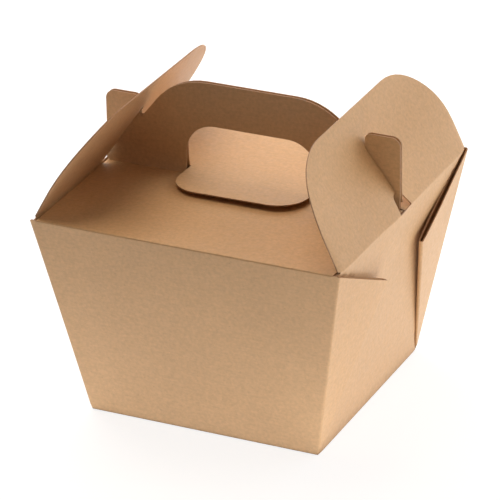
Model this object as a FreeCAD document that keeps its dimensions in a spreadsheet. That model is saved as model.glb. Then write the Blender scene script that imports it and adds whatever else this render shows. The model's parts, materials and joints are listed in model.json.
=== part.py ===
import FreeCAD, Part
import math
import os
import Sketcher

# Takeaway box of one folded card blank, standing on its floor.
# +X is right, +Y is back, +Z is up, and the origin is the middle of the floor's underside.
doc = FreeCAD.newDocument("TakeawayBox")

# Driving sizes in millimetres and degrees
SIZES = {
    "card": 0.6,
    "ply_gap": 0.05,
    "base_width": 121.7,
    "base_depth": 121.7,
    "top_width": 160.0,
    "top_depth": 160.0,
    "rim_height": 107.6,
    "web_outer_spring": 7.2,
    "web_inner_spring": 5.8,
    "lid_clearance": 0.5,
    "lid_taper": 1.1,
    "lid_rise": 1.7,
    "handle_stack": 2.5,
    "handle_height": 49.5,
    "handle_shoulder": 40.5,
    "shoulder_radius": 34.0,
    "notch_inner": 58.7,
    "notch_height": 26.5,
    "ear_inner": 60.1,
    "ear_outer": 79.3,
    "ear_height": 37.3,
    "ear_inner_radius": 3.0,
    "ear_outer_radius": 4.5,
    "ear_foot": 0.6,
    "hole_width": 70.0,
    "hole_height": 26.9,
    "hole_radius": 14.0,
    "tongue_clearance": 0.4,
    "fold_clearance": 0.1,
    "right_lean": 61.5,
    "left_lean": 59.5,
    "flap_foot_width": 155.6,
    "flap_top_width": 154.6,
    "flap_length": 55.0,
    "flap_radius": 40.0,
    "slot_clearance": 0.3,
    "ear_clearance": 0.8,
    "dart_width": 14.0,
    "dart_height": 9.5,
}

sheet = doc.addObject("Spreadsheet::Sheet", "Sizes")
for row, (alias, value) in enumerate(SIZES.items(), start=1):
    sheet.set(f"A{row}", alias)
    sheet.set(f"B{row}", str(value))
    sheet.setAlias(f"B{row}", alias)
doc.recompute()

# Lengths and angles that follow from the driving sizes, written as expressions
LEAN_X = "atan((Sizes.top_width - Sizes.base_width) / 2 / Sizes.rim_height)"
LEAN_Y = "atan((Sizes.top_depth - Sizes.base_depth) / 2 / Sizes.rim_height)"
SPREAD_X = "(Sizes.top_width - Sizes.base_width) / 2"
SPREAD_Y = "(Sizes.top_depth - Sizes.base_depth) / 2"
SLANT_X = f"sqrt(Sizes.rim_height ^ 2 + ({SPREAD_X}) ^ 2)"
SLANT_Y = f"sqrt(Sizes.rim_height ^ 2 + ({SPREAD_Y}) ^ 2)"
EDGE_LENGTH = f"sqrt(Sizes.rim_height ^ 2 + ({SPREAD_X}) ^ 2 + ({SPREAD_Y}) ^ 2)"
EDGE_SLEW_X = f"atan(({SPREAD_X}) / ({SLANT_Y}))"
EDGE_SLEW_Y = f"atan(({SPREAD_Y}) / ({SLANT_X}))"
WEB_ANGLE = f"(90 deg - {EDGE_SLEW_X} - {EDGE_SLEW_Y}) / 2"
WEB_STACK = "2 * (Sizes.card + Sizes.ply_gap)"
LID_HALF = f"(Sizes.top_width / 2 - {WEB_STACK} - Sizes.card - Sizes.lid_clearance)"
LID_NARROW = f"({LID_HALF} - Sizes.lid_taper)"
LID_REACH = "(Sizes.top_depth / 2 - Sizes.handle_stack / 2)"
LID_LIFT = f"{LID_REACH} * tan(Sizes.lid_rise)"
FOLD_STEP = "(Sizes.card / 2 + Sizes.fold_clearance)"
HINGE_DEPTH = f"({WEB_STACK} + Sizes.card / 2)"
HINGE_X = (f"(Sizes.base_width / 2 + ({SLANT_X} + {FOLD_STEP}) * sin({LEAN_X})"
           f" - {HINGE_DEPTH} * cos({LEAN_X}))")
HINGE_Z = f"(({SLANT_X} + {FOLD_STEP}) * cos({LEAN_X}) + {HINGE_DEPTH} * sin({LEAN_X}))"
EAR_REACH = (f"(sqrt(({HINGE_X} - Sizes.ear_inner - Sizes.ear_inner_radius) ^ 2"
             f" + (Sizes.rim_height + Sizes.ear_height - Sizes.ear_inner_radius - {HINGE_Z}) ^ 2)"
             " + Sizes.ear_inner_radius)")
SLOT_HALF = "(Sizes.handle_stack / 2 + Sizes.slot_clearance)"
SLOT_END = f"({EAR_REACH} + Sizes.ear_clearance)"


def place(position, *turns):
    """Write a placement expression from a point and turns about axes, the last turn made first."""
    steps = " * ".join(f"rotation(vector({axis}); {angle})" for axis, angle in turns)
    return f"placement(vector({'; '.join(position)}); {steps})"


# Turns that stand a flat panel up: its own x runs along the fold, y away from it and z outward
FACE_RIGHT = ("1; 1; 1", "120")
HALF_TURN = ("0; 0; 1", "180")


def origin_plane(body, role):
    """Return one of the body's own origin planes."""
    return next(item for item in body.Origin.OriginFeatures if item.Role == role)


def mirrored(half):
    """Complete an outline that is drawn for x > 0 with its reflection."""
    return half + [(f"-({corner[0]})", *corner[1:]) for corner in reversed(half)]


def draw_outline(body, name, corners, tilt="0", lift="0"):
    """Sketch a closed outline through corners (x, y) or (x, y, radius), held by expressions.

    The sketch is turned by tilt about the body's own y axis and raised by lift.
    """
    sketch = body.newObject("Sketcher::SketchObject", name)
    sketch.AttachmentSupport = [(origin_plane(body, "XY_Plane"), "")]
    sketch.MapMode = "FlatFace"
    sketch.setExpression("AttachmentOffset", place(("0", "0", lift), ("0; 1; 0", tilt)))

    for index, corner in enumerate(corners):
        sketch.addGeometry(Part.Point(FreeCAD.Vector(index + 1.0, index + 1.0, 0)), True)
        for kind, size in (("DistanceX", corner[0]), ("DistanceY", corner[1])):
            row = sketch.addConstraint(Sketcher.Constraint(kind, -1, 1, index, 1, index + 1.0))
            sketch.setExpression(f"Constraints[{row}]", size)
    doc.recompute()

    points = [sketch.getPoint(index, 1) for index in range(len(corners))]
    count = len(points)
    ends = []
    for index, corner in enumerate(corners):
        here = points[index]
        to_last = (points[index - 1] - here).normalize()
        to_next = (points[(index + 1) % count] - here).normalize()
        if len(corner) == 2:
            ends.append((here, here, None))
            continue
        radius = getattr(sheet, corner[2])
        half_angle = to_last.getAngle(to_next) / 2
        reach = radius / math.tan(half_angle)
        start, finish = here + to_last * reach, here + to_next * reach
        middle = (to_last + to_next).normalize()
        centre = here + middle * (radius / math.sin(half_angle))
        ends.append((start, finish, Part.Arc(start, centre - middle * radius, finish)))

    lines = [sketch.addGeometry(Part.LineSegment(ends[index][1], ends[(index + 1) % count][0]))
             for index in range(count)]
    for index, corner in enumerate(corners):
        before, after = lines[index - 1], lines[index]
        if len(corner) == 2:
            sketch.addConstraint(Sketcher.Constraint("Coincident", before, 2, index, 1))
            sketch.addConstraint(Sketcher.Constraint("Coincident", after, 1, index, 1))
            continue
        arc_shape = ends[index][2]
        arc = sketch.addGeometry(arc_shape)
        forward = sketch.getPoint(arc, 1).distanceToPoint(ends[index][0]) < 1e-6
        first, last = (1, 2) if forward else (2, 1)
        sketch.addConstraint(Sketcher.Constraint("PointOnObject", index, 1, before))
        sketch.addConstraint(Sketcher.Constraint("PointOnObject", index, 1, after))
        sketch.addConstraint(Sketcher.Constraint("Tangent", before, 2, arc, first))
        sketch.addConstraint(Sketcher.Constraint("Tangent", after, 1, arc, last))
        radius = getattr(sheet, corner[2])
        row = sketch.addConstraint(Sketcher.Constraint("Radius", arc, radius))
        sketch.setExpression(f"Constraints[{row}]", f"Sizes.{corner[2]}")
    return sketch


def panel(name, corners, placement, lift="0"):
    """Build one flat panel of card, its outer face on the outline and its thickness behind."""
    body = doc.addObject("PartDesign::Body", name)
    body.Label = name
    outline = draw_outline(body, f"{name}_outline", corners, lift=lift)
    sheet_of_card = body.newObject("PartDesign::Pad", f"{name}_card")
    sheet_of_card.Profile = outline
    sheet_of_card.setExpression("Length", "Sizes.card")
    sheet_of_card.Reversed = True
    body.setExpression("Placement", placement)
    return body


def cut_through(body, name, corners, lift="0"):
    """Cut an outline right through a panel."""
    outline = draw_outline(body, f"{name}_outline", corners, lift=lift)
    before = body.Shape.Volume
    cut = body.newObject("PartDesign::Pocket", name)
    cut.Profile = outline
    cut.setExpression("Length", "2 * Sizes.card")
    doc.recompute()
    if body.Shape.Volume >= before:
        raise RuntimeError(f"{name} removes no card")


# Tray: the floor and four walls that lean outward. The end walls stand inside the corner
# edges by the two plies of the webs, which lie outside them.
def floor_panel():
    half_width = f"(Sizes.base_width / 2 - {WEB_STACK} / cos({LEAN_X}))"
    half = [(half_width, "-Sizes.base_depth / 2"), (half_width, "Sizes.base_depth / 2")]
    return panel("floor", mirrored(half), place(("0", "0", "0"), ("1; 0; 0", "180")))


def long_wall(name, *facing):
    half = [("Sizes.base_width / 2", "0"), ("Sizes.top_width / 2", SLANT_Y)]
    side = "Sizes.base_depth / 2" if facing else "-Sizes.base_depth / 2"
    return panel(name, mirrored(half),
                 place(("0", side, "0"), *facing, ("1; 0; 0", f"90 deg + {LEAN_Y}")))


def end_wall(name, *facing):
    half = [("(Sizes.base_depth - Sizes.card) / 2", f"-({WEB_STACK}) * tan({LEAN_X})"),
            ("(Sizes.top_depth - Sizes.card) / 2", SLANT_X)]
    side = "-Sizes.base_width / 2" if facing else "Sizes.base_width / 2"
    return panel(name, mirrored(half),
                 place((side, "0", "0"), *facing, ("0; 1; 0", LEAN_X), FACE_RIGHT),
                 lift=f"-({WEB_STACK})")


# Corner web: a right triangle of card folded double on its diagonal, open along its top edge.
# Its own x runs across the end wall, y up the corner edge and z outward.
def corner_web():
    body = doc.addObject("PartDesign::Body", "web")
    tip_x = f"{EDGE_LENGTH} * cos({WEB_ANGLE}) * sin({WEB_ANGLE})"
    tip_y = f"{EDGE_LENGTH} * cos({WEB_ANGLE}) ^ 2"
    triangle = [("0", "0"), (tip_x, tip_y), ("0", EDGE_LENGTH)]
    hull_outer = draw_outline(body, "web_outer_face", triangle, "-Sizes.web_outer_spring")
    hull_inner = draw_outline(body, "web_inner_face", triangle, "-Sizes.web_inner_spring",
                              f"-({WEB_STACK})")
    hull = body.newObject("PartDesign::AdditiveLoft", "web_plies")
    hull.Profile = hull_outer
    hull.Sections = [hull_inner]
    hull.Ruled = True
    doc.recompute()
    solid_volume = body.Shape.Volume

    seam = "1.5 * Sizes.card"
    past_top = "4 * Sizes.card"
    seam_up = f"({seam}) * (cos({WEB_ANGLE}) + 1) / sin({WEB_ANGLE})"
    mouth = [(seam, seam_up),
             (f"{tip_x} - ({seam}) * cos({WEB_ANGLE}) + ({past_top}) * sin({WEB_ANGLE})",
              f"{tip_y} + ({seam}) * sin({WEB_ANGLE}) + ({past_top}) * cos({WEB_ANGLE})"),
             (seam, f"{EDGE_LENGTH} + ({past_top}) / cos({WEB_ANGLE})")]
    gap_outer = draw_outline(body, "web_gap_outer", mouth, "-Sizes.web_outer_spring",
                             "-Sizes.card")
    gap_inner = draw_outline(body, "web_gap_inner", mouth, "-Sizes.web_inner_spring",
                             "-(Sizes.card + 2 * Sizes.ply_gap)")
    gap = body.newObject("PartDesign::SubtractiveLoft", "web_gap")
    gap.Profile = gap_outer
    gap.Sections = [gap_inner]
    gap.Ruled = True
    doc.recompute()
    if body.Shape.Volume >= solid_volume:
        raise RuntimeError("the web's plies are not parted")
    body.setExpression("Placement", place(
        ("Sizes.base_width / 2", "-Sizes.base_depth / 2", "0"),
        ("0; 1; 0", LEAN_X), FACE_RIGHT, ("0; 0; 1", EDGE_SLEW_Y)))
    return body


def reflect(source, name, normal):
    mirror = doc.addObject("Part::Mirroring", name)
    mirror.Source = source
    mirror.Normal = normal
    return mirror


# Lids and carrying handle: each long wall's card folds in as half of the lid and then up as one
# ply of the handle. The rear lid runs on through both hand holes as a tongue.
def handle_ply(name, position, height_drop, *facing):
    half = [(LID_NARROW, "-Sizes.card"),
            (LID_NARROW, "Sizes.ear_foot"),
            ("Sizes.ear_outer", "Sizes.ear_foot"),
            ("Sizes.ear_outer", f"Sizes.ear_height - {height_drop}", "ear_outer_radius"),
            ("Sizes.ear_inner", f"Sizes.ear_height - {height_drop}", "ear_inner_radius"),
            ("Sizes.ear_inner", f"Sizes.notch_height - {height_drop}"),
            ("Sizes.notch_inner", f"Sizes.notch_height - {height_drop}"),
            ("Sizes.handle_shoulder", f"Sizes.handle_height - {height_drop}", "shoulder_radius")]
    body = panel(name, mirrored(half), place(position, *facing, ("1; 0; 0", "90")))
    hole = [("Sizes.hole_width / 2", "0"),
            ("Sizes.hole_width / 2", "Sizes.hole_height", "hole_radius")]
    cut_through(body, f"{name}_hand_hole", mirrored(hole))
    return body


def front_lid():
    half = [(LID_HALF, "0"), (LID_NARROW, f"{LID_REACH} + Sizes.card")]
    return panel("front_lid", mirrored(half),
                 place(("0", "-Sizes.top_depth / 2", "Sizes.rim_height"), ("1; 0; 0", "0")))


def rear_lid():
    reach = f"{LID_REACH} / cos(Sizes.lid_rise)"
    tongue_half = "(Sizes.hole_width / 2 - Sizes.tongue_clearance)"
    half = [(LID_HALF, "0"),
            (LID_NARROW, f"{reach} + Sizes.card"),
            (tongue_half, f"{reach} + Sizes.card"),
            (tongue_half, f"{reach} + Sizes.hole_height", "hole_radius")]
    return panel("rear_lid", mirrored(half),
                 place(("0", "Sizes.top_depth / 2", "Sizes.rim_height"),
                       HALF_TURN, ("1; 0; 0", "Sizes.lid_rise")))


def carton():
    web = corner_web()
    right_rear_web = reflect(web, "right_rear_web", FreeCAD.Vector(0, 1, 0))
    left_front_web = reflect(web, "left_front_web", FreeCAD.Vector(1, 0, 0))
    left_rear_web = reflect(right_rear_web, "left_rear_web", FreeCAD.Vector(1, 0, 0))
    front_ply = handle_ply("front_ply", ("0", "-Sizes.handle_stack / 2", "Sizes.rim_height"), "0")
    rear_ply = handle_ply("rear_ply", ("0", "Sizes.handle_stack / 2",
                                       f"Sizes.rim_height + {LID_LIFT}"), LID_LIFT, HALF_TURN)
    blank = doc.addObject("Part::MultiFuse", "carton")
    blank.Shapes = [floor_panel(), long_wall("front_wall"), long_wall("rear_wall", HALF_TURN),
                    end_wall("right_wall"), end_wall("left_wall", HALF_TURN),
                    web, right_rear_web, left_front_web, left_rear_web,
                    front_lid(), rear_lid(), front_ply, rear_ply]
    blank.Refine = True
    blank.Label = "carton"
    return blank


# End flap: hinged on the top of its end wall, it leans in over the lid, and its slot drops over
# the handle's ear. The dart at the slot's foot clears the ear where it stands on the rim.
def end_flap(name, lean, *facing):
    side = f"-({HINGE_X})" if facing else HINGE_X
    half = [("Sizes.flap_foot_width / 2", "-Sizes.card / 2"),
            ("Sizes.flap_top_width / 2", "Sizes.flap_length", "flap_radius")]
    body = panel(name, mirrored(half),
                 place((side, "0", HINGE_Z), *facing, ("0; 1; 0", f"{lean} - 90"), FACE_RIGHT),
                 lift="Sizes.card / 2")
    doc.recompute()
    foot = -sheet.card / 2
    pad = body.Tip
    at_foot = [f"Edge{number}" for number, edge in enumerate(pad.Shape.Edges, start=1)
               if all(abs(vertex.Point.y - foot) < 1e-6 for vertex in edge.Vertexes)
               and edge.Length > 2 * sheet.card]
    bead = body.newObject("PartDesign::Fillet", f"{name}_fold")
    bead.Base = (pad, at_foot)
    bead.setExpression("Radius", "0.45 * Sizes.card")
    doc.recompute()
    slot = [("Sizes.dart_width / 2", "-Sizes.card"),
            ("Sizes.dart_width / 2", "0"),
            (SLOT_HALF, "Sizes.dart_height"),
            (SLOT_HALF, SLOT_END)]
    cut_through(body, f"{name}_slot", mirrored(slot), lift="Sizes.card / 2")
    return body


sub_parts = [carton(),
             end_flap("right_end_flap", "Sizes.right_lean"),
             end_flap("left_end_flap", "Sizes.left_lean", HALF_TURN)]
doc.recompute()

for item in doc.Objects:
    if "Invalid" in item.State or "Error" in item.State:
        raise RuntimeError(f"{item.Label} did not compute")
os.makedirs("parts", exist_ok=True)
for sub_part in sub_parts:
    if sub_part.Shape.isNull() or not sub_part.Shape.isValid():
        raise RuntimeError(f"{sub_part.Label} has no valid shape")
    sub_part.Shape.exportStep(f"parts/{sub_part.Label}.step")
    box = sub_part.Shape.BoundBox
    print(f"{sub_part.Label}: {len(sub_part.Shape.Solids)} solid, {sub_part.Shape.Volume:.0f} mm3, "
          f"{box.XLength:.2f} x {box.YLength:.2f} x {box.ZLength:.2f} mm")
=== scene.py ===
import json
import math

import bpy
import numpy as np
from mathutils import Matrix, Vector
from mathutils.geometry import delaunay_2d_cdt


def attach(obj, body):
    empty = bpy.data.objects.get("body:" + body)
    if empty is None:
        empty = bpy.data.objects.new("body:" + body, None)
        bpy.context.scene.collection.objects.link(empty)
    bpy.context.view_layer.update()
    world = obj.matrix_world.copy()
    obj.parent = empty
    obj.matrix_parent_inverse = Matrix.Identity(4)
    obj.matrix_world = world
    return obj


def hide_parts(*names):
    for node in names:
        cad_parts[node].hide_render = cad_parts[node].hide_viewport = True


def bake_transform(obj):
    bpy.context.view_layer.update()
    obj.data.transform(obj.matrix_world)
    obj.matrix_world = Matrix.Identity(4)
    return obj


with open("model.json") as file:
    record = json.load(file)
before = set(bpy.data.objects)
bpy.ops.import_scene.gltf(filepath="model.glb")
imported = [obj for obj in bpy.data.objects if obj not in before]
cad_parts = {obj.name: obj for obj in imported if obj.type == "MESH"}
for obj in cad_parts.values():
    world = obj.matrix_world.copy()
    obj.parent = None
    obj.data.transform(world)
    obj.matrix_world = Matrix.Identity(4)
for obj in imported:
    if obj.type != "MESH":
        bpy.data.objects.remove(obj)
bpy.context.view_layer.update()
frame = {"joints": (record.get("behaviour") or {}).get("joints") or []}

# Sizes of the folded box, in millimetres and degrees
MM = 0.001
CARD = 0.6
PLY_GAP = 0.05
BASE_HALF = 61.3
TOP_HALF = 80.0
RIM = 107.6
LID_CLEARANCE = 0.5
LID_TAPER = 0.4
LID_SIDE = {"right": 80.1, "left": 78.2}
LID_SPUR = 2.1
LID_SAG = 2.3
LID_RISE = 1.7
HANDLE_STACK = 2.5
HANDLE_HEIGHT = 49.5
HANDLE_SHOULDER = 40.5
SHOULDER_RADIUS = 34.0
NOTCH_INNER = 58.7
NOTCH_HEIGHT = 26.5
EAR_INNER = 60.1
EAR_OUTER = 78.5
EAR_HEIGHT = 37.3
EAR_INNER_RADIUS = 3.0
EAR_OUTER_RADIUS = 4.5
EAR_FOOT = 0.6
HOLE_HALF = 35.0
HOLE_HEIGHT = 26.9
HOLE_RADIUS = 15.5
TONGUE_CLEARANCE = 0.4
FLAP_LEAN = {"right": 61.5, "left": 59.5}
FLAP_FOOT_HALF = 77.8
FLAP_TOP_HALF = 77.3
FLAP_LENGTH = 54.3
FLAP_RADIUS = 40.0
SLOT_HALF = 1.55
SLOT_END = 35.2
DART_HALF = 7.0
DART_HEIGHT = 9.5

# How the real card departs from flat panels and sharp creases
FOLD_SETBACK = 0.5
FOLD_GAP = 0.4
EDGE_SETBACK = 0.8
CORNER_CHAMFER = 1.2
FLOOR_APEX = (0.9, 0.3)
WEB_FOOT = 3.0
WEB_TIP_LIFT = 1.0
WEB_TIP_FOLD = 1.2
DIAGONAL_SETBACK = 0.65
OUTER_PLY_BOW = 0.4
INNER_PLY_BOW = -0.4
CORNER_FLARE = 1.2
CORNER_FLARE_POWER = 1.4
HANDLE_FLARE = 1.4
FLARE_HEIGHT = 11.0
TONGUE_SPARE = 0.6
TONGUE_SAG = 0.1
TONGUE_TWIST = 0.3
DART_SHOULDER = (5.6, 7.8, 3.0)
DART_STEP = 0.8
STRIP_DEPTH = 4.0
STRIP_HALF = 76.5

# How far the outer and the inner ply of a web spring off the end wall
WEB_SPRINGS = {"front": (6.6, 4.3), "rear": (5.7, 4.4)}

# Each end wall's belly at its top, and its bulge beside the dart, in front of the middle
END_BELLY = {"right": 2.0, "left": 0.7}
DART_BULGE = {"right": 0.8, "left": 0.0}
BULGE_PLACE = -9.0
BULGE_WIDTH = 15.0

# The room that an end wall has to belly: how fast it grows behind the webs, where a < 0 and
# where a > 0, and how fast past their top edges, up and inward, and past their diagonals
WEB_ROOM = (0.045, 0.08)
ROOM_ABOVE_WEB = (0.9, 0.42)
ROOM_BESIDE_WEB = (0.85, 0.55)
ROOM_PAST_WEB = 0.9
LEAST_ROOM = 0.01

# Each flap's warp off its plane: its hollow above the ear's root, its belly at the sides where
# a < 0 and where a > 0, and how its free end leans and twists
FLAP_WARP = {"right": (2.3, 1.8, 1.8, 0.6, 0.0), "left": (1.2, -0.4, 0.9, 0.9, -0.4)}

# Grid of the card's middle surface
GRID = 3.0
ARC_STEP = math.radians(7.0)
FOLD_STEPS = 6
WELD = 0.002

X, Y, Z = Vector((1, 0, 0)), Vector((0, 1, 0)), Vector((0, 0, 1))
WEB_STACK = 2 * (CARD + PLY_GAP)
SPREAD = TOP_HALF - BASE_HALF
LEAN = math.atan2(SPREAD, RIM)
SLANT = math.hypot(RIM, SPREAD)
EDGE = math.hypot(SLANT, SPREAD)
EDGE_SLEW = math.atan2(SPREAD, SLANT)
WEB_ANGLE = math.pi / 4 - EDGE_SLEW
LID_HALF = TOP_HALF - WEB_STACK - CARD - LID_CLEARANCE


def flat(a, b):
    return 0.0


class Panel:
    """A panel of card. Its points are given by a, along its fold, and b, away from it."""

    def __init__(self, origin, along, away, shape=flat, side=1):
        self.origin = origin
        self.along = along.normalized()
        self.away = away.normalized()
        self.outer = self.along.cross(self.away)
        self.shape = shape
        self.side = side

    def at(self, a, b):
        """The middle surface's point and normal. shape lifts it off the flat panel."""
        step = 0.01
        slope_a = (self.shape(a + step, b) - self.shape(a - step, b)) / (2 * step)
        slope_b = (self.shape(a, b + step) - self.shape(a, b - step)) / (2 * step)
        point = (self.origin + self.along * a + self.away * b
                 + self.outer * self.shape(a, b))
        normal = self.outer - self.along * slope_a - self.away * slope_b
        return point, normal.normalized() * self.side

    def local(self, point):
        """The a and b of a point in space."""
        away = point - self.origin
        return away.dot(self.along), away.dot(self.away)

    def line(self, points):
        return [self.at(*point) for point in points]


def run(start, end, count):
    """Points from start to end in equal steps, both ends included."""
    start, end = Vector(start), Vector(end)
    return [tuple(start.lerp(end, index / count)) for index in range(count + 1)]


def steps_for(length):
    return max(1, round(length / GRID))


def rounded(corners):
    """The points of an outline whose corners (x, y, radius) are rounded with arcs."""
    points = []
    for index, corner in enumerate(corners):
        here = Vector(corner[:2])
        if len(corner) == 2:
            points.append(tuple(here))
            continue
        to_last = (Vector(corners[index - 1][:2]) - here).normalized()
        to_next = (Vector(corners[(index + 1) % len(corners)][:2]) - here).normalized()
        half = to_last.angle(to_next) / 2
        centre = here + (to_last + to_next).normalized() * (corner[2] / math.sin(half))
        start = here + to_last * (corner[2] / math.tan(half)) - centre
        sweep = math.pi - 2 * half
        turn = 1 if to_last.cross(to_next) < 0 else -1
        count = max(2, math.ceil(sweep / ARC_STEP))
        for step in range(count + 1):
            angle = turn * sweep * step / count
            spoke = Vector((start.x * math.cos(angle) - start.y * math.sin(angle),
                            start.x * math.sin(angle) + start.y * math.cos(angle)))
            points.append(tuple(centre + spoke))
    return points


def mirrored(half):
    """Complete an outline that is drawn for x > 0 with its reflection."""
    return half + [(-corner[0], *corner[1:]) for corner in reversed(half)]


def divided(loop):
    """Split a loop's long sides so that none is much longer than the grid."""
    points = []
    for start, end in zip(loop, loop[1:] + loop[:1]):
        length = (Vector(end) - Vector(start)).length
        if length < 1e-6:
            continue
        count = max(1, math.ceil(length / (1.2 * GRID)))
        points += run(start, end, count)[:-1]
    return points


def inside(points, loops):
    """True for each point that lies inside the outline and outside its holes."""
    within = np.zeros(len(points), bool)
    px, py = points[:, 0], points[:, 1]
    for loop in loops:
        ends = np.roll(loop, -1, axis=0)
        for (ax, ay), (bx, by) in zip(loop, ends):
            if ay == by:
                continue
            crosses = (ay > py) != (by > py)
            within ^= crosses & (px < (bx - ax) * (py - ay) / (by - ay) + ax)
    return within


def clear_of(points, loops, reach):
    """True for each point that lies at least reach from every side of the loops."""
    clear = np.ones(len(points), bool)
    for loop in loops:
        ends = np.roll(loop, -1, axis=0)
        for start, end in zip(loop, ends):
            side = end - start
            along = np.clip(((points - start) @ side) / (side @ side), 0, 1)
            gap = points - (start + along[:, None] * side)
            clear &= (gap ** 2).sum(axis=1) > reach ** 2
    return clear


class Card:
    """The middle surface of one piece of card, gathered from panels and folds."""

    def __init__(self):
        self.points = []
        self.normals = []
        self.faces = []
        self.place = Matrix.Identity(3)

    def add_points(self, line):
        first = len(self.points)
        for point, normal in line:
            self.points.append(self.place @ point)
            self.normals.append(self.place @ normal)
        return range(first, len(self.points))

    def add_face(self, corners):
        """Add a face, wound so that it faces the way its normals point."""
        spots = [self.points[corner] for corner in corners]
        facing = (spots[1] - spots[0]).cross(spots[2] - spots[0])
        if facing.dot(self.normals[corners[0]] + self.normals[corners[2]]) < 0:
            corners = corners[::-1]
        self.faces.append(tuple(corners))

    def add_panel(self, panel, outline, holes=()):
        loops = [np.array(divided(loop)) for loop in (outline, *holes)]
        low, high = loops[0].min(axis=0), loops[0].max(axis=0)
        rows = np.arange(low[1], high[1], GRID * math.sqrt(3) / 2)
        grid = np.array([(a + (index % 2) * GRID / 2, b) for index, b in enumerate(rows)
                         for a in np.arange(low[0], high[0], GRID)])
        grid = grid[inside(grid, loops)]
        grid = grid[clear_of(grid, loops, 0.55 * GRID)]
        sides = []
        first = 0
        for loop in loops:
            count = len(loop)
            sides += [(first + index, first + (index + 1) % count) for index in range(count)]
            first += count
        spots = [Vector(point) for point in np.vstack([*loops, grid])]
        verts, _, faces = delaunay_2d_cdt(spots, sides, [], 0, 1e-7)[:3]
        flat_points = np.array([tuple(vert) for vert in verts])
        centres = np.array([flat_points[list(face)].mean(axis=0) for face in faces])
        kept = inside(centres, loops)
        index = self.add_points(panel.line(flat_points))
        for face, keep in zip(faces, kept):
            if keep:
                self.add_face([index[corner] for corner in face])

    def add_fan(self, centre, loop):
        """Close a small hole in the card with triangles from a centre to each side of it."""
        middle = self.add_points([centre])[0]
        ring = self.add_points(loop)
        faces = [(middle, here, after) for here, after in zip(ring, [*ring[1:], ring[0]])]
        agreement = 0.0
        for face in faces:
            spots = [self.points[corner] for corner in face]
            facing = (spots[1] - spots[0]).cross(spots[2] - spots[0])
            agreement += facing.dot(self.normals[face[1]])
        self.faces += [face if agreement > 0 else face[::-1] for face in faces]

    def add_fold(self, line_a, leaving, line_b, entering, steps=FOLD_STEPS):
        """Bend from one line of card to another, leaving the first and entering the second
        in the given directions. Returns each row's points and normals."""
        turn = leaving.angle(entering)
        reach = (4 / 3) * math.tan(turn / 4) / (2 * math.sin(turn / 2))
        rows = []
        for (start, normal_a), (end, normal_b) in zip(line_a, line_b):
            handle = (end - start).length * reach
            knots = (start, start + leaving * handle, end - entering * handle, end)
            row = []
            for step in range(steps + 1):
                t = step / steps
                s = 1 - t
                point = (knots[0] * s ** 3 + knots[1] * 3 * s * s * t
                         + knots[2] * 3 * s * t * t + knots[3] * t ** 3)
                tangent = ((knots[1] - knots[0]) * s * s + (knots[2] - knots[1]) * 2 * s * t
                           + (knots[3] - knots[2]) * t * t).normalized()
                row.append((point, tangent))
            rows.append((row, normal_a, normal_b))
        bends = []
        for index, (row, normal_a, normal_b) in enumerate(rows):
            after = rows[min(index + 1, len(rows) - 1)][0]
            before = rows[max(index - 1, 0)][0]
            line = []
            for step, (point, tangent) in enumerate(row):
                seam = after[step][0] - before[step][0]
                normal = tangent.cross(seam).normalized()
                if step == 0:
                    sign = 1 if normal.dot(normal_a) > 0 else -1
                line.append((point, normal * sign))
            line[0] = (line[0][0], normal_a)
            line[-1] = (line[-1][0], normal_b)
            bends.append(line)
        lines = [self.add_points(line) for line in bends]
        for here, after in zip(lines, lines[1:]):
            for step in range(steps):
                self.add_face([here[step], after[step], after[step + 1], here[step + 1]])
        return bends

    def build(self, name, materials):
        """Weld the panels and folds, give the card its thickness and close its cut edges."""
        points = np.array([tuple(point) for point in self.points])
        normals = np.array([tuple(normal) for normal in self.normals])
        same = weld(points)
        faces = []
        for face in self.faces:
            corners = [same[corner] for corner in face]
            corners = [corner for index, corner in enumerate(corners)
                       if corner != corners[index - 1]]
            if len(corners) > 2:
                faces.append(corners)
        used = sorted({corner for face in faces for corner in face})
        number = {corner: index for index, corner in enumerate(used)}
        faces = [[number[corner] for corner in face] for face in faces]
        points, normals = points[used], normals[used]
        count = len(points)

        open_sides = {}
        for face in faces:
            for start, end in zip(face, face[1:] + face[:1]):
                if (end, start) in open_sides:
                    del open_sides[end, start]
                else:
                    open_sides[start, end] = True
        polygons = [*faces, *([corner + count for corner in reversed(face)] for face in faces)]
        rim_start = len(polygons)
        polygons += [[start, start + count, end + count, end] for start, end in open_sides]
        spots = np.vstack([points + normals * CARD / 2, points - normals * CARD / 2]) * MM

        mesh = bpy.data.meshes.new(name)
        mesh.from_pydata(spots.tolist(), [], polygons)
        for material in materials:
            mesh.materials.append(material)
        is_rim = np.arange(len(polygons)) >= rim_start
        mesh.polygons.foreach_set("material_index", is_rim.astype(np.int32))
        mesh.polygons.foreach_set("use_smooth", np.ones(len(polygons), bool))
        mesh.validate()
        mesh.update()
        corner_normals = []
        for polygon in mesh.polygons:
            for corner in polygon.vertices:
                if polygon.index >= rim_start:
                    corner_normals.append(tuple(polygon.normal))
                elif corner < count:
                    corner_normals.append(tuple(normals[corner]))
                else:
                    corner_normals.append(tuple(-normals[corner - count]))
        mesh.normals_split_custom_set(corner_normals)
        piece = bpy.data.objects.new(name, mesh)
        bpy.context.scene.collection.objects.link(piece)
        return piece


def weld(points):
    """For each point, the first point that lies at the same place."""
    order = np.argsort(points[:, 0], kind="stable")
    same = list(range(len(points)))
    for place, here in enumerate(order):
        for other in order[place + 1:]:
            if points[other, 0] - points[here, 0] > WELD:
                break
            if same[other] == other and np.abs(points[other] - points[here]).max() < WELD:
                same[other] = same[here]
    return same


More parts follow.
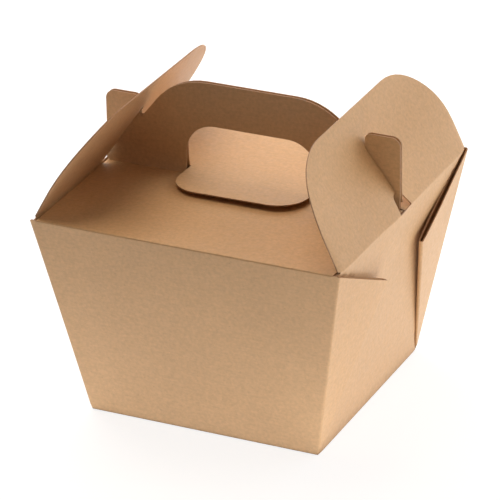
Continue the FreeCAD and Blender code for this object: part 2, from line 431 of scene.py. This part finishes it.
# Materials
def kraft(name, tint, fibre):
    """Unbleached kraft card: mottled pulp, fine fibres and specks, dull with a faint sheen.
    fibre is the depth of the grain."""
    material = bpy.data.materials.new(name)
    material.use_nodes = True
    nodes, links = material.node_tree.nodes, material.node_tree.links
    shader = nodes["Principled BSDF"]
    place = nodes.new("ShaderNodeTexCoord").outputs["Object"]

    def noise(scale, detail, stretch=None):
        texture = nodes.new("ShaderNodeTexNoise")
        texture.inputs["Scale"].default_value = scale
        texture.inputs["Detail"].default_value = detail
        source = place
        if stretch:
            mapping = nodes.new("ShaderNodeMapping")
            mapping.inputs["Scale"].default_value = stretch
            links.new(place, mapping.inputs["Vector"])
            source = mapping.outputs["Vector"]
        links.new(source, texture.inputs["Vector"])
        return texture.outputs["Fac"]

    def between(fac, low, high, to_low, to_high):
        node = nodes.new("ShaderNodeMapRange")
        node.inputs["From Min"].default_value = low
        node.inputs["From Max"].default_value = high
        node.inputs["To Min"].default_value = to_low
        node.inputs["To Max"].default_value = to_high
        links.new(fac, node.inputs["Value"])
        return node.outputs["Result"]

    def multiply(a, b):
        node = nodes.new("ShaderNodeMath")
        node.operation = "MULTIPLY"
        links.new(a, node.inputs[0])
        links.new(b, node.inputs[1])
        return node.outputs["Value"]

    mottle = between(noise(22.0, 3.0), 0.3, 0.7, 0.97, 1.03)
    grain = between(noise(620.0, 3.0), 0.3, 0.7, 1 - fibre, 1 + fibre)
    streak = between(noise(160.0, 3.0, (1.0, 9.0, 9.0)), 0.3, 0.7, 1 - fibre / 2, 1 + fibre / 2)
    specks = between(noise(900.0, 1.0), 0.66, 0.76, 1.0, 0.9)
    tone = multiply(multiply(mottle, grain), multiply(streak, specks))
    colour = nodes.new("ShaderNodeMix")
    colour.data_type = "RGBA"
    colour.blend_type = "MULTIPLY"
    colour.inputs["Factor"].default_value = 1.0
    colour.inputs["A"].default_value = (*tint, 1.0)
    links.new(tone, colour.inputs["B"])
    links.new(colour.outputs["Result"], shader.inputs["Base Color"])
    links.new(between(noise(300.0, 3.0), 0.3, 0.7, 0.46, 0.58), shader.inputs["Roughness"])
    shader.inputs["Specular IOR Level"].default_value = 0.65
    shader.inputs["Sheen Weight"].default_value = 0.1
    shader.inputs["Sheen Roughness"].default_value = 0.4
    bump = nodes.new("ShaderNodeBump")
    bump.inputs["Strength"].default_value = 0.25
    bump.inputs["Distance"].default_value = 0.00006
    links.new(noise(1400.0, 5.0), bump.inputs["Height"])
    links.new(bump.outputs["Normal"], shader.inputs["Normal"])
    return material


KRAFT = kraft("kraft_face", (0.60, 0.37, 0.182), 0.08)
CUT = kraft("kraft_cut_edge", (0.36, 0.19, 0.09), 0.12)
MATERIALS = (KRAFT, CUT)

# Places of the card's middle surface that several panels share
UP_SLOPE = Vector((math.sin(LEAN), 0, math.cos(LEAN)))
END_OUT = UP_SLOPE.cross(Y) * -1
WALL_UP = Vector((0, -math.sin(LEAN), math.cos(LEAN)))
WALL_OUT = X.cross(WALL_UP)
FLOOR_MID = CARD / 2


def wall_floor_line(inset):
    """How far out the floor's middle surface meets a wall that is inset from the outer face."""
    return BASE_HALF - inset / math.cos(LEAN) + FLOOR_MID * math.tan(LEAN)


def end_bow(belly, bulge):
    """How far an end wall lies outside its plane. It stands flush with the corner edges, bellied
    at the top and beside the dart, except behind the webs, where it keeps clear of their plies."""
    def bow(a, b):
        height = b / SLANT
        inset = max(0.0, BASE_HALF + SPREAD * height - abs(a))
        near_dart = math.exp(-((a - BULGE_PLACE) / BULGE_WIDTH) ** 2)
        wish = (WEB_STACK * (1 - height) + belly * height ** 2
                + bulge * max(0.0, height) ** 6 * near_dart)
        above_web = (ROOM_ABOVE_WEB[0] * (b - SLANT)
                     + ROOM_ABOVE_WEB[1] * (TOP_HALF - abs(a)))
        beside_web = ROOM_BESIDE_WEB[0] * inset - ROOM_BESIDE_WEB[1] * b
        slack = WEB_ROOM[0] if a < 0 else WEB_ROOM[1]
        room = LEAST_ROOM + slack * inset + ROOM_PAST_WEB * max(0.0, above_web, beside_web)
        return wish * room / (wish ** 4 + room ** 4) ** 0.25
    return bow


FRONT_FOOT = wall_floor_line(CARD / 2)
END_FOOT = wall_floor_line(WEB_STACK + CARD / 2)
front_wall = Panel(Vector((0, -FRONT_FOOT, FLOOR_MID)), X, WALL_UP)
END_WALLS = {side: Panel(Vector((END_FOOT, 0, FLOOR_MID)), Y, UP_SLOPE,
                         end_bow(END_BELLY[side], DART_BULGE[side]))
             for side in END_BELLY}
LID_MID = RIM - CARD / 2
RIM_MID = FRONT_FOOT + (LID_MID - FLOOR_MID) * math.tan(LEAN)
RIM_B = (LID_MID - FLOOR_MID) / math.cos(LEAN)

# The corner edge of the box, right and front, and the panels that meet there
CORNER = Vector((BASE_HALF, -BASE_HALF, 0))
EDGE_WAY = Vector((SPREAD, -SPREAD, RIM)).normalized()
ACROSS = EDGE_WAY.cross(END_OUT)
WALL_ACROSS = EDGE_WAY.cross(WALL_OUT)


def tilted(spring):
    """The direction across the web, sprung away from the end wall."""
    angle = math.radians(spring)
    return ACROSS * math.cos(angle) + END_OUT * math.sin(angle)


def build_floor(card):
    """The floor and its folds up to the four walls. Returns the walls' lowest seams, and for
    each kind of fold the cross-section at the right front corner."""
    floor = Panel(Vector((0, 0, FLOOR_MID)), X, -Y)
    half_x, half_y = END_FOOT - FOLD_SETBACK, FRONT_FOOT - FOLD_SETBACK
    seam_x, seam_y = half_x, half_y - CORNER_CHAMFER
    nx, ny = steps_for(2 * seam_x), steps_for(2 * seam_y)
    front = run((-seam_x, half_y), (seam_x, half_y), nx)
    foot_bow = END_WALLS["right"].shape
    right = [(half_x + math.cos(LEAN) * foot_bow(b, 0), b)
             for _, b in run((0, seam_y), (0, -seam_y), ny)]
    back = [(-a, -b) for a, b in front]
    left = [(-a, -b) for a, b in right]
    card.add_panel(floor, front + right + back + left)
    wall_seam = run((-seam_x, FOLD_SETBACK), (seam_x, FOLD_SETBACK), nx)
    end_seam = run((-seam_y, FOLD_SETBACK), (seam_y, FOLD_SETBACK), ny)
    for side, turn in (("right", 0), ("left", math.pi)):
        end_wall = END_WALLS[side]
        card.place = Matrix.Rotation(turn, 3, "Z")
        wall_rows = card.add_fold(floor.line(front), -Y, front_wall.line(wall_seam), WALL_UP)
        end_rows = card.add_fold(floor.line(right), X, end_wall.line(end_seam), UP_SLOPE)
    return wall_seam, end_seam, wall_rows[-1], end_rows[0]


def corner_point(across, along, out):
    return CORNER + ACROSS * across + EDGE_WAY * along + END_OUT * out


WEB_TIP = Vector((EDGE * math.cos(WEB_ANGLE) * math.sin(WEB_ANGLE),
                  EDGE * math.cos(WEB_ANGLE) ** 2 + WEB_TIP_LIFT))
DIAGONAL = WEB_TIP.normalized()


def ply_bow(most, flare=0.0):
    """A web ply's belly, most two thirds along its top edge and none on its two folds, and how
    far its top corner springs out."""
    crown = (WEB_TIP * 2 + Vector((0, EDGE))) / 3
    unit = crown.x ** 2 * abs(crown.cross(DIAGONAL))

    def bow(a, b):
        belly = most * a * abs(a) * (b * DIAGONAL.x - a * DIAGONAL.y) / unit
        return belly + corner_flare(b, flare) * max(0.0, 1 - a / WEB_TIP.x)
    return bow


def corner_flare(along, flare=CORNER_FLARE):
    return flare * max(0.0, along / EDGE) ** CORNER_FLARE_POWER


def web_plies(place):
    """The outer and inner ply of a front or rear web, and how far in the outer one's seam lies."""
    outer_way, inner_way = (tilted(spring) for spring in WEB_SPRINGS[place])
    out = outer_way.cross(EDGE_WAY)
    inset = (WALL_OUT + out) * (CARD / 2 / (1 + WALL_OUT.dot(out)))
    outer = Panel(CORNER - inset, outer_way, EDGE_WAY, ply_bow(OUTER_PLY_BOW, CORNER_FLARE))
    inner = Panel(corner_point(0, 0, -PLY_GAP - 1.5 * CARD), inner_way, EDGE_WAY,
                  ply_bow(INNER_PLY_BOW), side=-1)
    return outer, inner, inset


PLY_SIDE = 1.75 * CARD
CORNER_TOP = EDGE - 0.2


def ply_seams(side, count, diagonal_count):
    """One web ply's seam beside the corner edge, going up, and beside the diagonal, going down."""
    inward = Vector((-DIAGONAL.y, DIAGONAL.x))
    top_way = (WEB_TIP - Vector((0, EDGE))).normalized()
    top_start = Vector((0, EDGE)) + top_way * (side / top_way.x)
    tip = WEB_TIP - top_way * WEB_TIP_FOLD
    low = DIAGONAL * WEB_FOOT + inward * DIAGONAL_SETBACK
    return run((side, WEB_FOOT), top_start, count), run(tip, low, diagonal_count)


def build_web(card, place, end_wall, wall_foot, end_foot):
    """One corner's two plies, the fold on their diagonal and their folds to the walls. Returns
    the walls' seams beside the corner."""
    outer_ply, inner_ply, outer_inset = web_plies(place)
    count = steps_for(EDGE - WEB_FOOT)
    diagonal_count = steps_for(WEB_TIP.length - WEB_FOOT)
    heights = np.linspace(WEB_FOOT, CORNER_TOP, count + 1)
    outer_side, outer_diagonal = ply_seams(EDGE_SETBACK, count, diagonal_count)
    inner_side, inner_diagonal = ply_seams(PLY_SIDE, count, diagonal_count)
    card.add_panel(outer_ply, outer_side + outer_diagonal)
    card.add_panel(inner_ply, inner_side + inner_diagonal)

    wall_edge = CORNER - outer_inset - WALL_ACROSS * EDGE_SETBACK
    wall_seam = [front_wall.local(wall_edge + EDGE_WAY * along + X * corner_flare(along))
                 for along in heights]
    end_seam = [end_wall.local(corner_point(PLY_SIDE, along, 0)) for along in heights]
    leaving = outer_ply.along * DIAGONAL.y - EDGE_WAY * DIAGONAL.x
    entering = inner_ply.along * -DIAGONAL.y + EDGE_WAY * DIAGONAL.x
    wall_rows = card.add_fold(front_wall.line(wall_seam), WALL_ACROSS,
                              outer_ply.line(outer_side), outer_ply.along)
    diagonal_rows = card.add_fold(outer_ply.line(outer_diagonal), leaving,
                                  inner_ply.line(inner_diagonal), entering, 10)
    end_rows = card.add_fold(inner_ply.line(inner_side), -inner_ply.along,
                             end_wall.line(end_seam), ACROSS, 8)
    foot = [*wall_foot, *wall_rows[0], *diagonal_rows[-1], *end_rows[0], *reversed(end_foot)]
    apex = Vector((END_FOOT + FLOOR_APEX[0], -FRONT_FOOT + FLOOR_APEX[1], FLOOR_MID))
    card.add_fan((apex, (WALL_OUT + END_OUT - Z).normalized()), foot)
    return wall_seam, end_seam


def build_long_side(card, wall_bottom, corner_seam, rise, tongue, ends):
    """A long wall, its half of the lid and its ply of the handle, as the front ones lie."""
    count = steps_for(2 * LID_HALF)
    rim_seam = run((LID_HALF, RIM_B - FOLD_SETBACK), (-LID_HALF, RIM_B - FOLD_SETBACK), count)
    left_seam = [(-a, b) for a, b in reversed(corner_seam)]
    shoulder = (LID_HALF + 0.1, corner_seam[-1][1])
    card.add_panel(front_wall, [*wall_bottom, *corner_seam, shoulder, *rim_seam,
                                (-shoulder[0], shoulder[1]), *left_seam])

    rise = math.radians(rise)
    lid_way = Vector((0, math.cos(rise), math.sin(rise)))
    half_stack = HANDLE_STACK / 2 - CARD / 2
    handle_reach = (RIM_MID - half_stack) / math.cos(rise)
    ply_foot = LID_MID + (RIM_MID - half_stack) * math.tan(rise)

    def droop(a, b):
        """A raised lid droops at its outer sides, and its tongue at its tip."""
        past = max(0.0, b - handle_reach) / HOLE_HEIGHT
        tip = (TONGUE_SAG + TONGUE_TWIST * a / HOLE_HALF) * past ** 2
        sides = LID_SAG * (a / LID_HALF) ** 6 * min(1.0, b / handle_reach) if tongue else 0.0
        return -tip - sides

    def flare(a, b):
        return HANDLE_FLARE * max(0.0, 1 - b / FLARE_HEIGHT) ** 2

    lid = Panel(Vector((0, -RIM_MID, LID_MID)), X, lid_way, droop)
    ply = Panel(Vector((0, -half_stack, ply_foot)), X, Z, flare)
    lid_end = handle_reach - HANDLE_FLARE - FOLD_SETBACK
    lid_start = run((-LID_HALF, FOLD_SETBACK), (LID_HALF, FOLD_SETBACK), count)
    narrow = LID_HALF - LID_TAPER
    foot_count = steps_for(narrow - HOLE_HALF)
    fold_right = run((narrow, lid_end), (HOLE_HALF, lid_end), foot_count)
    fold_left = [(-a, b) for a, b in reversed(fold_right)]
    middle = []
    if tongue:
        half = HOLE_HALF - TONGUE_CLEARANCE
        tip = handle_reach + HOLE_HEIGHT + TONGUE_SPARE
        middle = rounded(mirrored([(half, lid_end), (half, tip, HOLE_RADIUS)]))
    spurs = [[(LID_SIDE[end], lid_end + LID_SPUR), (narrow + 0.3, lid_end + LID_SPUR)]
             for end in ends]
    spur_left = [(-a, b) for a, b in reversed(spurs[1])]
    card.add_panel(lid, lid_start + spurs[0] + fold_right + middle + fold_left + spur_left)
    card.add_fold(front_wall.line(rim_seam[::-1]), WALL_UP, lid.line(lid_start), lid_way)

    drop = ply_foot - RIM
    top, ear, notch = HANDLE_HEIGHT - drop, EAR_HEIGHT - drop, NOTCH_HEIGHT - drop
    foot_right = run((HOLE_HALF, FOLD_SETBACK), (narrow, FOLD_SETBACK), foot_count)
    foot_left = [(-a, b) for a, b in reversed(foot_right)]
    over = rounded(mirrored([(narrow, EAR_FOOT + CARD / 2),
                             (EAR_OUTER, EAR_FOOT + CARD / 2),
                             (EAR_OUTER, ear, EAR_OUTER_RADIUS),
                             (EAR_INNER, ear, EAR_INNER_RADIUS),
                             (EAR_INNER, notch),
                             (NOTCH_INNER, notch),
                             (HANDLE_SHOULDER, top, SHOULDER_RADIUS)]))
    hole = rounded(mirrored([(HOLE_HALF, FOLD_SETBACK),
                             (HOLE_HALF, HOLE_HEIGHT + CARD / 2, HOLE_RADIUS)]))
    card.add_panel(ply, foot_right + over + foot_left + hole[-2:0:-1])
    ply_way = (ply.at(0, 2 * FOLD_SETBACK)[0] - ply.at(0, 0)[0]).normalized()
    for lid_side, ply_side in ((fold_right[::-1], foot_right), (fold_left[::-1], foot_left)):
        card.add_fold(lid.line(lid_side), lid_way, ply.line(ply_side), ply_way)


# The right flap's hinge line, and the heights on the end wall beside it
HINGE = next(Vector(joint["pos_m"]) / MM for joint in frame["joints"]
             if joint["child"] == "right_flap")
HINGE_B = END_WALLS["right"].local(HINGE)[1]
STRIP_SEAM = run((-STRIP_HALF, HINGE_B - STRIP_DEPTH), (STRIP_HALF, HINGE_B - STRIP_DEPTH),
                 steps_for(2 * STRIP_HALF))


def build_carton():
    """The tray, lid and handle, folded from one piece of card."""
    card = Card()
    wall_bottom, end_bottom, wall_foot, end_foot = build_floor(card)
    for place, turn, rise, ends in (("front", 0, 0.0, ("right", "left")),
                                    ("rear", math.pi, LID_RISE, ("left", "right"))):
        spin = Matrix.Rotation(turn, 3, "Z")
        for flip, end in zip((1, -1), ends):
            card.place = spin @ Matrix.Diagonal((flip, 1, 1))
            wall_seam, end_seam = build_web(card, place, END_WALLS[end], wall_foot, end_foot)
        card.place = spin
        build_long_side(card, wall_bottom, wall_seam, rise, place == "rear", ends)
        rear_seam = [(-a, b) for a, b in end_seam]
        beside = (STRIP_HALF, HINGE_B - FOLD_GAP)
        card.add_panel(END_WALLS[ends[0]],
                       [*end_bottom, *rear_seam, beside, *reversed(STRIP_SEAM),
                        (-beside[0], beside[1]), *reversed(end_seam)])
    piece = card.build("carton_card", MATERIALS)
    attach(piece, "box")
    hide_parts("carton")


def build_flap(side):
    """One end flap with its crease and the strip of end wall below, so that the crease bends."""
    lean = math.radians(FLAP_LEAN[side])
    up = Vector((-math.cos(lean), 0, math.sin(lean)))
    lift, slip = END_OUT.dot(Y.cross(up)), END_OUT.dot(up)

    hollow, low_side, high_side, end_lean, end_twist = FLAP_WARP[side]
    end_wall = END_WALLS[side]

    def shape(a, b):
        """Follow the crease at the foot, hollow at the middle and spring at the sides."""
        out, across = min(1.0, max(0.0, b / FLAP_LENGTH)), a / FLAP_FOOT_HALF
        sides = (low_side if a < 0 else high_side) * across ** 2 * math.sin(math.pi * out)
        middle = hollow * (1 - across ** 2) ** 2 * math.sin(math.pi * out ** 1.6) ** 2
        return (lift * end_wall.shape(a, HINGE_B) * (1 - out) ** 1.5 + sides - middle
                - (end_lean + end_twist * across) * out ** 2)

    def foot(a):
        return a, FOLD_SETBACK + slip * end_wall.shape(a, HINGE_B)

    flap = Panel(HINGE, Y, up, shape)
    along = np.linspace(DART_HALF, STRIP_HALF, steps_for(STRIP_HALF - DART_HALF) + 1)
    foot_right = [foot(a) for a in along]
    foot_left = [foot(-a) for a in reversed(along)]
    over = rounded(mirrored([foot(FLAP_FOOT_HALF), (FLAP_TOP_HALF, FLAP_LENGTH, FLAP_RADIUS)]))
    slot = rounded([foot_left[-1], (-DART_SHOULDER[0], *DART_SHOULDER[1:]),
                    (-SLOT_HALF, DART_HEIGHT - DART_STEP), (-SLOT_HALF, SLOT_END),
                    (SLOT_HALF, SLOT_END), (SLOT_HALF, DART_HEIGHT), foot_right[0]])
    top_right = [(a, HINGE_B - FOLD_SETBACK) for a in along]
    top_left = [(-a, b) for a, b in reversed(top_right)]
    bare = (DART_HALF - 0.2, HINGE_B)

    card = Card()
    card.place = Matrix.Rotation(0 if side == "right" else math.pi, 3, "Z")
    card.add_panel(flap, foot_right + over + foot_left + slot[1:-1])
    card.add_panel(end_wall, [*STRIP_SEAM, *reversed(top_right), bare, (-bare[0], bare[1]),
                              *reversed(top_left)])
    for wall_side, flap_side in ((top_right, foot_right), (top_left, foot_left)):
        card.add_fold(end_wall.line(wall_side), UP_SLOPE, flap.line(flap_side), up)
    piece = card.build(f"{side}_flap_card", MATERIALS)
    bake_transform(piece)
    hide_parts(f"{side}_end_flap")


# Camera, solved from the photograph's box corners
AZIMUTH, ELEVATION, ROLL = (math.radians(angle) for angle in (25.286, 25.6, -0.997))
TARGET = Vector((-2.15, 0.0, 70.85)) * MM
DISTANCE = 1.874
FOCAL_PIXELS = 3803.6
PHOTO_PIXELS = 500
SENSOR = 36.0

# Light. A lamp's row gives its azimuth, which runs from the right side to the rear, its
# elevation, power and colour. A lit card's row gives its place on the floor, size and power
LAMP_DISTANCE = 1.6
LAMP_SIZE = 1.3
LAMP_AIM = Vector((0, 0, 0.08))
NEUTRAL = (1.0, 1.0, 1.0)
MILD = (1.0, 0.82, 0.66)
WARM = (1.0, 0.75, 0.52)
LAMPS = (("rear_light", 90, 18, 13.0, NEUTRAL),
         ("rear_left_light", 140, 30, 12.5, NEUTRAL),
         ("rear_right_light", 45, 15, 11.3, NEUTRAL),
         ("top_light", 150, 65, 18.5, MILD),
         ("right_light", 0, 28, 4.5, WARM))
CARD_LIFT = 0.0003
LIT_CARDS = (("rear_card", (0.0, 0.4), (0.8, 0.5), 0.4),
             ("right_card", (0.235, 0.05), (0.34, 0.5), 0.47),
             ("front_card", (-0.05, -0.112), (0.36, 0.1), 0.128))
WORLD_LEVEL = 0.03
WHITE = (1.0, 1.0, 1.0, 1.0)
FLOOR_REACH = 3.0
FLOOR_ALBEDO = 0.86
FLOOR_GLOW = 0.84
FLOOR_SHADE = 0.3


def add_camera():
    camera = bpy.data.objects.new("camera", bpy.data.cameras.new("camera"))
    back = Vector((math.sin(AZIMUTH) * math.cos(ELEVATION),
                   -math.cos(AZIMUTH) * math.cos(ELEVATION), math.sin(ELEVATION)))
    level = Vector((math.cos(AZIMUTH), math.sin(AZIMUTH), 0))
    upright = back.cross(level)
    right = level * math.cos(ROLL) + upright * math.sin(ROLL)
    up = upright * math.cos(ROLL) - level * math.sin(ROLL)
    turn = Matrix((right, up, back)).transposed().to_4x4()
    camera.matrix_world = Matrix.Translation(TARGET + back * DISTANCE) @ turn
    camera.data.sensor_width = SENSOR
    camera.data.lens = FOCAL_PIXELS * SENSOR / PHOTO_PIXELS
    bpy.context.scene.collection.objects.link(camera)
    bpy.context.scene.camera = camera


def add_lamp(name, azimuth, elevation, power, colour):
    """A large soft lamp that faces the box."""
    turn, height = math.radians(azimuth), math.radians(elevation)
    way = Vector((math.cos(turn) * math.cos(height), math.sin(turn) * math.cos(height),
                  math.sin(height)))
    lamp = place_lamp(name, way * LAMP_DISTANCE + LAMP_AIM, way, (LAMP_SIZE, LAMP_SIZE),
                      power, colour)
    lamp.visible_glossy = False


def add_lit_card(name, place, size, power):
    """A lit card that lies on the floor and shines up past the box, unseen itself."""
    lamp = place_lamp(name, Vector((*place, CARD_LIFT)), -Z, size, power, NEUTRAL)
    lamp.visible_camera = False
    lamp.visible_glossy = False


def place_lamp(name, place, back, size, power, colour):
    light = bpy.data.lights.new(name, "AREA")
    light.shape = "RECTANGLE"
    light.size, light.size_y = size
    light.energy = power
    light.color = colour
    lamp = bpy.data.objects.new(name, light)
    lamp.location = place
    lamp.rotation_euler = (-back).to_track_quat("-Z", "Y").to_euler()
    bpy.context.scene.collection.objects.link(lamp)
    return lamp


def shown_white(nodes, links, lit, white):
    """Mix a lit shader with plain white for rays that show the backdrop."""
    path = nodes.new("ShaderNodeLightPath")
    first = nodes.new("ShaderNodeMath")
    first.operation = "MAXIMUM"
    links.new(path.outputs["Is Camera Ray"], first.inputs[0])
    links.new(path.outputs["Is Glossy Ray"], first.inputs[1])
    second = nodes.new("ShaderNodeMath")
    second.operation = "MAXIMUM"
    links.new(first.outputs["Value"], second.inputs[0])
    links.new(path.outputs["Is Transmission Ray"], second.inputs[1])
    mix = nodes.new("ShaderNodeMixShader")
    links.new(second.outputs["Value"], mix.inputs["Fac"])
    links.new(lit, mix.inputs[1])
    links.new(white, mix.inputs[2])
    return mix.outputs["Shader"]


def add_world():
    world = bpy.data.worlds.new("studio")
    world.use_nodes = True
    bpy.context.scene.world = world
    nodes, links = world.node_tree.nodes, world.node_tree.links
    nodes.clear()
    dim = nodes.new("ShaderNodeBackground")
    dim.inputs["Color"].default_value = WHITE
    dim.inputs["Strength"].default_value = WORLD_LEVEL
    white = nodes.new("ShaderNodeBackground")
    white.inputs["Color"].default_value = WHITE
    white.inputs["Strength"].default_value = 1.0
    shader = shown_white(nodes, links, dim.outputs["Background"], white.outputs["Background"])
    output = nodes.new("ShaderNodeOutputWorld")
    links.new(shader, output.inputs["Surface"])


def add_floor():
    mesh = bpy.data.meshes.new("floor")
    corners = [(-FLOOR_REACH, -FLOOR_REACH, 0), (FLOOR_REACH, -FLOOR_REACH, 0),
               (FLOOR_REACH, FLOOR_REACH, 0), (-FLOOR_REACH, FLOOR_REACH, 0)]
    mesh.from_pydata(corners, [], [(0, 1, 2, 3)])
    floor = bpy.data.objects.new("floor", mesh)
    bpy.context.scene.collection.objects.link(floor)
    material = bpy.data.materials.new("studio_floor")
    material.use_nodes = True
    nodes, links = material.node_tree.nodes, material.node_tree.links
    shader = nodes["Principled BSDF"]
    shader.inputs["Base Color"].default_value = (FLOOR_ALBEDO, FLOOR_ALBEDO, FLOOR_ALBEDO, 1)
    shader.inputs["Roughness"].default_value = 0.9
    shader.inputs["Specular IOR Level"].default_value = 0.1
    glow = nodes.new("ShaderNodeEmission")
    glow.inputs["Color"].default_value = WHITE
    glow.inputs["Strength"].default_value = FLOOR_GLOW
    faint = nodes.new("ShaderNodeBsdfDiffuse")
    faint.inputs["Color"].default_value = (FLOOR_SHADE, FLOOR_SHADE, FLOOR_SHADE, 1)
    lit = nodes.new("ShaderNodeAddShader")
    links.new(faint.outputs["BSDF"], lit.inputs[0])
    links.new(glow.outputs["Emission"], lit.inputs[1])
    seen = shown_white(nodes, links, shader.outputs["BSDF"], lit.outputs["Shader"])
    links.new(seen, nodes["Material Output"].inputs["Surface"])
    mesh.materials.append(material)


bpy.context.scene.view_settings.view_transform = "Standard"
add_camera()
add_world()
for row in LAMPS:
    add_lamp(*row)
for row in LIT_CARDS:
    add_lit_card(*row)
add_floor()

build_carton()
for side in ("right", "left"):
    build_flap(side)
